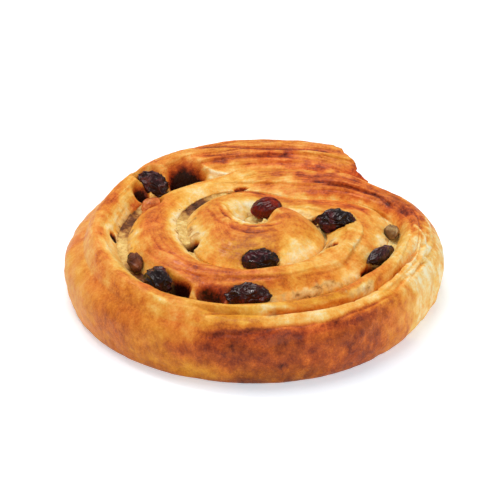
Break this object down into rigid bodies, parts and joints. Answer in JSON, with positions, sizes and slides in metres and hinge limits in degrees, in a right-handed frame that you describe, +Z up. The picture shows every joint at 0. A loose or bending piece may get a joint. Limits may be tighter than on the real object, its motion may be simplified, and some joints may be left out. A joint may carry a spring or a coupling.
{
  "type": "raisin roll",
  "caption": "Round baked roll of laminated dough wound in a spiral with custard and raisins in its seam, resting flat on its base.",
  "frame": {"origin": "middle of the outline on the plane that the roll rests on", "axes": "+Z up; the picture looks along +Y from the front and above, +X to its right; the cut tail of the spiral is at the back right"},
  "size_m": [0.1094, 0.1124, 0.0246],
  "materials": {
    "baked_dough": "egg-washed golden brown crust, glossy on the ridges, matt and pale in the valleys",
    "custard": "baked custard, dull and slightly grainy",
    "raisin": "wrinkled dark skin, glossy",
    "light_raisin": "amber, half melted, glossy"
  },
  "bodies": {
    "root": {"dough": "baked_dough", "custard": "custard", "raisin_1": "raisin", "raisin_2": "raisin", "raisin_3": "raisin", "raisin_4": "raisin", "raisin_5": "raisin", "raisin_6": "raisin", "raisin_7": "raisin", "raisin_8": "raisin", "raisin_9": "raisin", "raisin_10": "light_raisin"}
  },
  "joints": []
}
